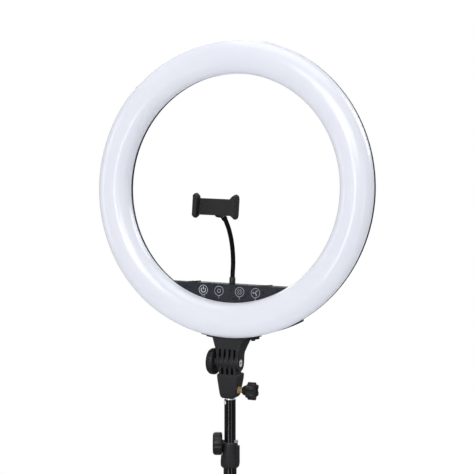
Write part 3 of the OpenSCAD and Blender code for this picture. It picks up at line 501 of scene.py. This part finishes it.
def ribbon(points, width, closed):
    """The ribbon's left edge followed by its right edge."""
    centre = [np.array(p, float) for p in points]
    count = len(centre)
    left, right = [], []
    for i, point in enumerate(centre):
        if closed:
            before, after = centre[i - 1], centre[(i + 1) % count]
        else:
            before, after = centre[max(i - 1, 0)], centre[min(i + 1, count - 1)]
        along = (after - before) / max(np.linalg.norm(after - before), 1e-9)
        normal = np.array([-along[1], along[0]])
        left.append(point + normal * width / 2)
        right.append(point - normal * width / 2)
    return left + right


def print_symbol(name, strokes):
    verts, faces = [], []
    for points, width, closed in strokes:
        count = len(points)
        # first vertices of the rear-left, rear-right, front-left and front-right edges
        a, b, c, d = (len(verts) + count * row for row in range(4))
        outline = ribbon(points, width, closed)
        for y in (PRINT_REAR, PRINT_REAR - PRINT_THICKNESS):
            verts += [(x * MM, y * MM, z * MM) for x, z in outline]
        pairs = [(i, (i + 1) % count) for i in range(count if closed else count - 1)]
        for i, j in pairs:
            faces.append((a + i, a + j, b + j, b + i))
            faces.append((d + i, d + j, c + j, c + i))
        for i, j in pairs:
            faces.append((a + i, c + i, c + j, a + j))
            faces.append((b + i, b + j, d + j, d + i))
        if not closed:
            last = count - 1
            faces.append((a, b, d, c))
            faces.append((a + last, c + last, d + last, b + last))
    build_mesh(name, verts, faces, MATERIALS["print"], "head", sharp=30, placed=RING)


def rim(x, width=KEY_RIM_WIDTH):
    return (circle(x, KEY_Z, KEY_RADIUS), width, True)


def power_strokes(x):
    """A bold ring, an arc open at the top and an upright bar."""
    return [rim(x, width=0.75),
            (arc(x, KEY_Z, radius=3.7, start=130, end=410), 1.25, False),
            ([(x, KEY_Z + 0.6), (x, KEY_Z + 5.0)], 1.3, False)]


def brightness_strokes(x):
    """A small eight-sided ring."""
    return [rim(x), (circle(x, KEY_Z, radius=2.9, points=8), 0.55, True)]


def colour_strokes(x):
    """A ring of ten dots round a thin ring with a dark core."""
    strokes = [rim(x), (circle(x, KEY_Z, radius=1.9, points=24), 0.3, True)]
    for k in range(10):
        centre = polar(x, KEY_Z, 3.9, math.radians(36 * k))
        strokes.append((circle(*centre, radius=0.25, points=10), 0.5, True))
    return strokes


def mode_strokes(x):
    """Three curved blades round a hub."""
    hub_gap, blade_length = 1.0, 3.7
    bow, twist = 34, 10     # degrees: bulge at mid-blade, turn at the tip
    strokes = [rim(x), (circle(x, KEY_Z, radius=0.35, points=12), 0.7, True)]
    for k in range(3):
        blade = []
        for i in range(13):
            t = i / 12
            angle = math.radians(120 * k + 30 + bow * math.sin(math.pi * t) + twist * t)
            blade.append(polar(x, KEY_Z, hub_gap + blade_length * t, angle))
        strokes.append((blade, 0.75, False))
    return strokes


# name, x of the centre, strokes
KEYS = (("power", -43.7, power_strokes), ("brightness", -17.3, brightness_strokes),
        ("colour", 17.3, colour_strokes), ("mode", 43.7, mode_strokes))


def level_bar(x, half_length, drop, width):
    z = KEY_Z - drop
    return ([(x - half_length, z), (x + half_length, z)], width, False)


def mark_strokes(x):
    """A V over a short bar."""
    top, tip = KEY_Z - 6.9, KEY_Z - 8.6
    return [([(x - 1.6, top), (x, tip), (x + 1.6, top)], 0.4, False),
            level_bar(x, half_length=0.8, drop=10.3, width=0.7)]


def print_keys():
    for name, x, strokes in KEYS:
        print_symbol(f"key_{name}", strokes(x))
    # marks below the keys; the power key has a plain bar
    for i, (name, x, _) in enumerate(KEYS):
        bar = [level_bar(x, half_length=3.4, drop=9.5, width=0.55)]
        print_symbol(f"key_mark_{i + 1}", bar if name == "power" else mark_strokes(x))


print_keys()

# ---------------------------------------------------------------- jaw spring coil
COIL_Y, COIL_Z = -12.75, 8.4        # axis in the holder's frame, running along X
COIL_RADIUS, WIRE_RADIUS = 1.42, 0.26
COIL_TURNS, STEPS_PER_TURN, WIRE_SIDES = 26, 20, 10


def build_spring():
    low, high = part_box("jaw_spring")
    length = high.x - low.x
    y, z = COIL_Y * MM, COIL_Z * MM
    radius, wire = COIL_RADIUS * MM, WIRE_RADIUS * MM
    steps = COIL_TURNS * STEPS_PER_TURN
    verts = []
    for i in range(steps + 1):
        t = i / steps
        turn = 2 * math.pi * COIL_TURNS * t
        out = Vector((0, math.cos(turn), math.sin(turn)))
        centre = Vector((low.x + wire + (length - 2 * wire) * t,
                         y + radius * math.cos(turn), z + radius * math.sin(turn)))
        for k in range(WIRE_SIDES):
            a = 2 * math.pi * k / WIRE_SIDES
            verts.append(centre + out * (wire * math.cos(a))
                         + Vector((1, 0, 0)) * (wire * math.sin(a)))
    coil = build_mesh("jaw_spring_coil", verts, sweep_faces(steps + 1, WIRE_SIDES),
                      MATERIALS["steel"], "holder", sharp=60, placed=HOLDER)
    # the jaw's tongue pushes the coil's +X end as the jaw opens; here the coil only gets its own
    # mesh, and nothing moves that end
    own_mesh(coil)
    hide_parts("jaw_spring")


build_spring()

# ---------------------------------------------------------------- tilt bolt socket, painted shade
SOCKET_RADIUS = 2.0
SOCKET_DEPTH, SOCKET_PROUD = 0.3, 0.04      # either side of the bolt's +X end


def build_bolt_socket_shade():
    """Dark six-sided plug, painted shade that reads as the recess in the tilt bolt's end."""
    low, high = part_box("tilt_bolt")
    y, z = (low.y + high.y) / 2, (low.z + high.z) / 2
    radius = SOCKET_RADIUS * MM
    verts = [(x, y + radius * math.cos(math.pi / 3 * k), z + radius * math.sin(math.pi / 3 * k))
             for x in (high.x - SOCKET_DEPTH * MM, high.x + SOCKET_PROUD * MM)
             for k in range(6)]
    # painted shade: a dark plug stands where the recess's shade falls
    socket = build_mesh("tilt_bolt_socket_shade", verts, sweep_faces(2, 6), MATERIALS["neck"],
                        "head", smooth=False)


build_bolt_socket_shade()


# ---------------------------------------------------------------- floor (metres from here on)
def floor_material():
    """Matt pale paper near the stand, going over to an evenly lit white sweep further out."""
    material, tree = new_material("floor_paper")
    vector = coords(tree)
    cloud = remap(tree, noise(tree, vector, scale=3), 0, 1)
    paper = node(tree, "BsdfPrincipled", {
        "Base Color": mix_colors(tree, cloud, (0.86, 0.865, 0.875), (0.88, 0.885, 0.895)),
        "Roughness": 0.9,
        "Specular IOR Level": 0.1}).outputs[0]
    distance = node(tree, "VectorMath", {0: vector}, operation="LENGTH").outputs["Value"]
    far = node(tree, "MapRange", {"Value": distance, "From Min": 0.9, "From Max": 2.4},
               interpolation_type="SMOOTHERSTEP").outputs[0]
    rays = node(tree, "LightPath").outputs
    white = node(tree, "Emission", {"Strength": 1.0}).outputs[0]
    seen = mix_shaders(tree, calc(tree, "MULTIPLY", far, rays["Is Camera Ray"]), paper, white)
    # shiny parts mirror a dim floor, as in a dark room
    dim = node(tree, "Emission", {"Strength": 0.14}).outputs[0]
    shown = mix_shaders(tree, rays["Is Glossy Ray"], seen, dim)
    node(tree, "OutputMaterial", {"Surface": shown})
    return material


def build_floor(radius=60, sides=64, drop=0.0002):
    mesh = bpy.data.meshes.new("floor")
    angles = [2 * math.pi * i / sides for i in range(sides)]
    mesh.from_pydata([(radius * math.cos(a), radius * math.sin(a), 0) for a in angles],
                     [], [tuple(range(sides))])
    mesh.materials.append(floor_material())
    floor = bpy.data.objects.new("floor", mesh)
    bpy.context.scene.collection.objects.link(floor)
    floor.location.z = -drop


build_floor()

# ---------------------------------------------------------------- world
scene = bpy.context.scene
scene.view_settings.view_transform = "Standard"
scene.view_settings.look = "None"


def build_world():
    """White to the camera, soft cool fill on the parts, a dim room in reflections."""
    world = bpy.data.worlds.new("studio")
    scene.world = world
    tree = empty_tree(world)

    def background(color, strength):
        return node(tree, "Background", {"Color": (*color, 1), "Strength": strength}).outputs[0]

    cool = (0.96, 0.975, 1.0)
    rays = node(tree, "LightPath").outputs
    lit = mix_shaders(tree, rays["Is Glossy Ray"], background(cool, strength=0.5),
                      background(cool, strength=0.12))
    shown = mix_shaders(tree, rays["Is Camera Ray"], lit, background((1, 1, 1), strength=1.0))
    node(tree, "OutputWorld", {"Surface": shown})


build_world()


# ---------------------------------------------------------------- lights
def aim(obj, position, target):
    obj.location = position
    obj.rotation_mode = "QUATERNION"
    obj.rotation_quaternion = (target - obj.location).to_track_quat("-Z", "Y")


def area_light(name, azimuth, distance, height, size, power, aim_height=1.05):
    """Area light at azimuth degrees from -Y towards +X, aimed at the stand's axis."""
    light = bpy.data.lights.new(name, "AREA")
    light.shape = "RECTANGLE"
    light.size, light.size_y = size
    light.energy = power
    obj = bpy.data.objects.new(name, light)
    scene.collection.objects.link(obj)
    a = math.radians(azimuth)
    aim(obj, (distance * math.sin(a), -distance * math.cos(a), height),
        Vector((0, 0, aim_height)))
    obj.visible_camera = False
    return obj


area_light("strip_left", azimuth=-68, distance=2.6, height=1.25, size=(0.30, 1.5), power=4.5)
area_light("strip_front", azimuth=-4, distance=3.4, height=1.45, size=(0.34, 1.9), power=12)
area_light("strip_right", azimuth=52, distance=2.9, height=1.3, size=(0.34, 1.6), power=4)
area_light("soft_front", azimuth=8, distance=4.6, height=3.4, size=(3.2, 2.0), power=76)
area_light("soft_top", azimuth=0, distance=0.2, height=4.2, size=(3.0, 3.0), power=46)
# low reflector strips, seen only mirrored in the tubes
for side, azimuth, power in (("left", -17, 0.55), ("right", 51, 0.5)):
    strip = area_light(f"tube_strip_{side}", azimuth=azimuth, distance=1.8, height=0.37,
                       size=(0.26, 0.66), power=power, aim_height=0.6)
    strip.visible_diffuse = False
for side, azimuth in (("left", 215), ("right", 140)):
    area_light(f"soft_back_{side}", azimuth=azimuth, distance=3.2, height=2.6,
               size=(1.6, 2.0), power=34)

# ---------------------------------------------------------------- camera
CAMERA_OFFSET = Vector((1.21853, -2.72342, 0.54829004))     # from the head's tilt pivot
TARGET_OFFSET = Vector((0.011665, 0.0003, 0.195013))        # likewise


def build_camera():
    data = bpy.data.cameras.new("camera")
    data.lens = 149.2786
    data.sensor_width = 36.0
    data.clip_start, data.clip_end = 0.05, 100
    camera = bpy.data.objects.new("camera", data)
    scene.collection.objects.link(camera)
    scene.camera = camera
    aim(camera, PIVOT + CAMERA_OFFSET, PIVOT + TARGET_OFFSET)


build_camera()
